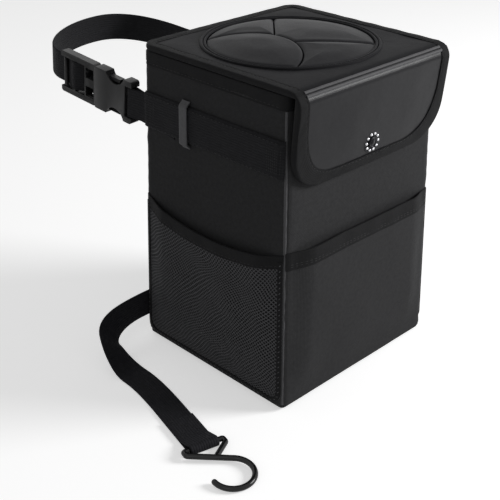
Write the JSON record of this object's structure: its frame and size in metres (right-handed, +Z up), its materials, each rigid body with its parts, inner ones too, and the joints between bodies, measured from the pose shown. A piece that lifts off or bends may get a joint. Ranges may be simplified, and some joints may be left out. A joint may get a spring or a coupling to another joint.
{
  "type": "car trash bin",
  "caption": "Soft-sided bin with stiffened cloth walls, a hinged lid with petal opening and flap, pockets, buckled strap and hook strap.",
  "frame": {"origin": "centre of the base on the floor", "axes": "+Z up; the front, with the pocket and the flap, faces -Y; +X to the right seen from the front"},
  "size_m": [0.2807, 0.371, 0.2696],
  "materials": {
    "cloth": "matt coated polyester cloth",
    "lid_cloth": "smooth coated cloth with a soft sheen",
    "tape": "matt woven binding tape",
    "mesh": "matt knitted mesh",
    "webbing": "matt ribbed webbing",
    "liner": "matt waterproof film",
    "board": "matt stiffener board",
    "plastic": "fine moulded satin",
    "metal": "plated, satin",
    "wire": "black gloss coating"
  },
  "bodies": {
    "bin": {"front_panel": "cloth", "back_panel": "cloth", "left_panel": "cloth", "right_panel": "cloth", "base_panel": "cloth", "front_board": "board", "back_board": "board", "left_board": "board", "right_board": "board", "base_board": "board", "liner": "liner", "rim_binding": "tape", "piping_front_left": "cloth", "piping_front_right": "cloth", "piping_back_left": "cloth", "piping_back_right": "cloth", "front_pocket": "cloth", "front_pocket_binding": "tape", "left_mesh_pocket": "mesh", "left_mesh_binding": "tape", "right_mesh_pocket": "mesh", "right_mesh_binding": "tape", "left_band": "webbing", "right_band": "webbing", "left_keeper": "webbing", "right_keeper": "webbing", "hinge_tape": "tape", "bin_magnet": "metal", "buckle_strap": "webbing", "buckle_socket": "plastic", "upper_strap": "webbing", "lower_strap": "webbing"},
    "lid": {"lid_panel": "lid_cloth", "lid_board": "board", "lid_lining": "liner", "lid_binding": "tape", "ring_piping": "lid_cloth", "petal_left": "lid_cloth", "petal_back": "lid_cloth", "petal_right": "lid_cloth", "petal_front": "lid_cloth", "crease_piping": "lid_cloth"},
    "flap": {"flap_panel": "lid_cloth", "flap_lining": "liner", "flap_binding": "tape", "flap_magnet": "metal", "snap_cap": "metal", "snap_beads": "metal"},
    "buckle_plug": {"buckle_plug": "plastic"},
    "hook": {"hook": "wire"}
  },
  "joints": [
    {"name": "lid_hinge", "type": "hinge", "parent": "bin", "child": "lid", "pos_m": [0, 0.079, 0.2585], "axis": [-1, 0, 0], "range_deg": [0, 110]},
    {"name": "flap_hinge", "type": "hinge", "parent": "lid", "child": "flap", "pos_m": [0, -0.086, 0.2598], "axis": [-1, 0, 0], "range_deg": [0, 160]},
    {"name": "buckle_release", "type": "slide", "parent": "bin", "child": "buckle_plug", "axis": [-0.0698, 0.9912, 0.1129], "range_m": [0, 0.036], "deforming": ["upper_strap"]},
    {"name": "hook_swivel", "type": "hinge", "parent": "bin", "child": "hook", "pos_m": [-0.1627, -0.0717, 0.00415], "axis": [-0.9703, 0.2419, 0], "range_deg": [0, 130]}
  ]
}
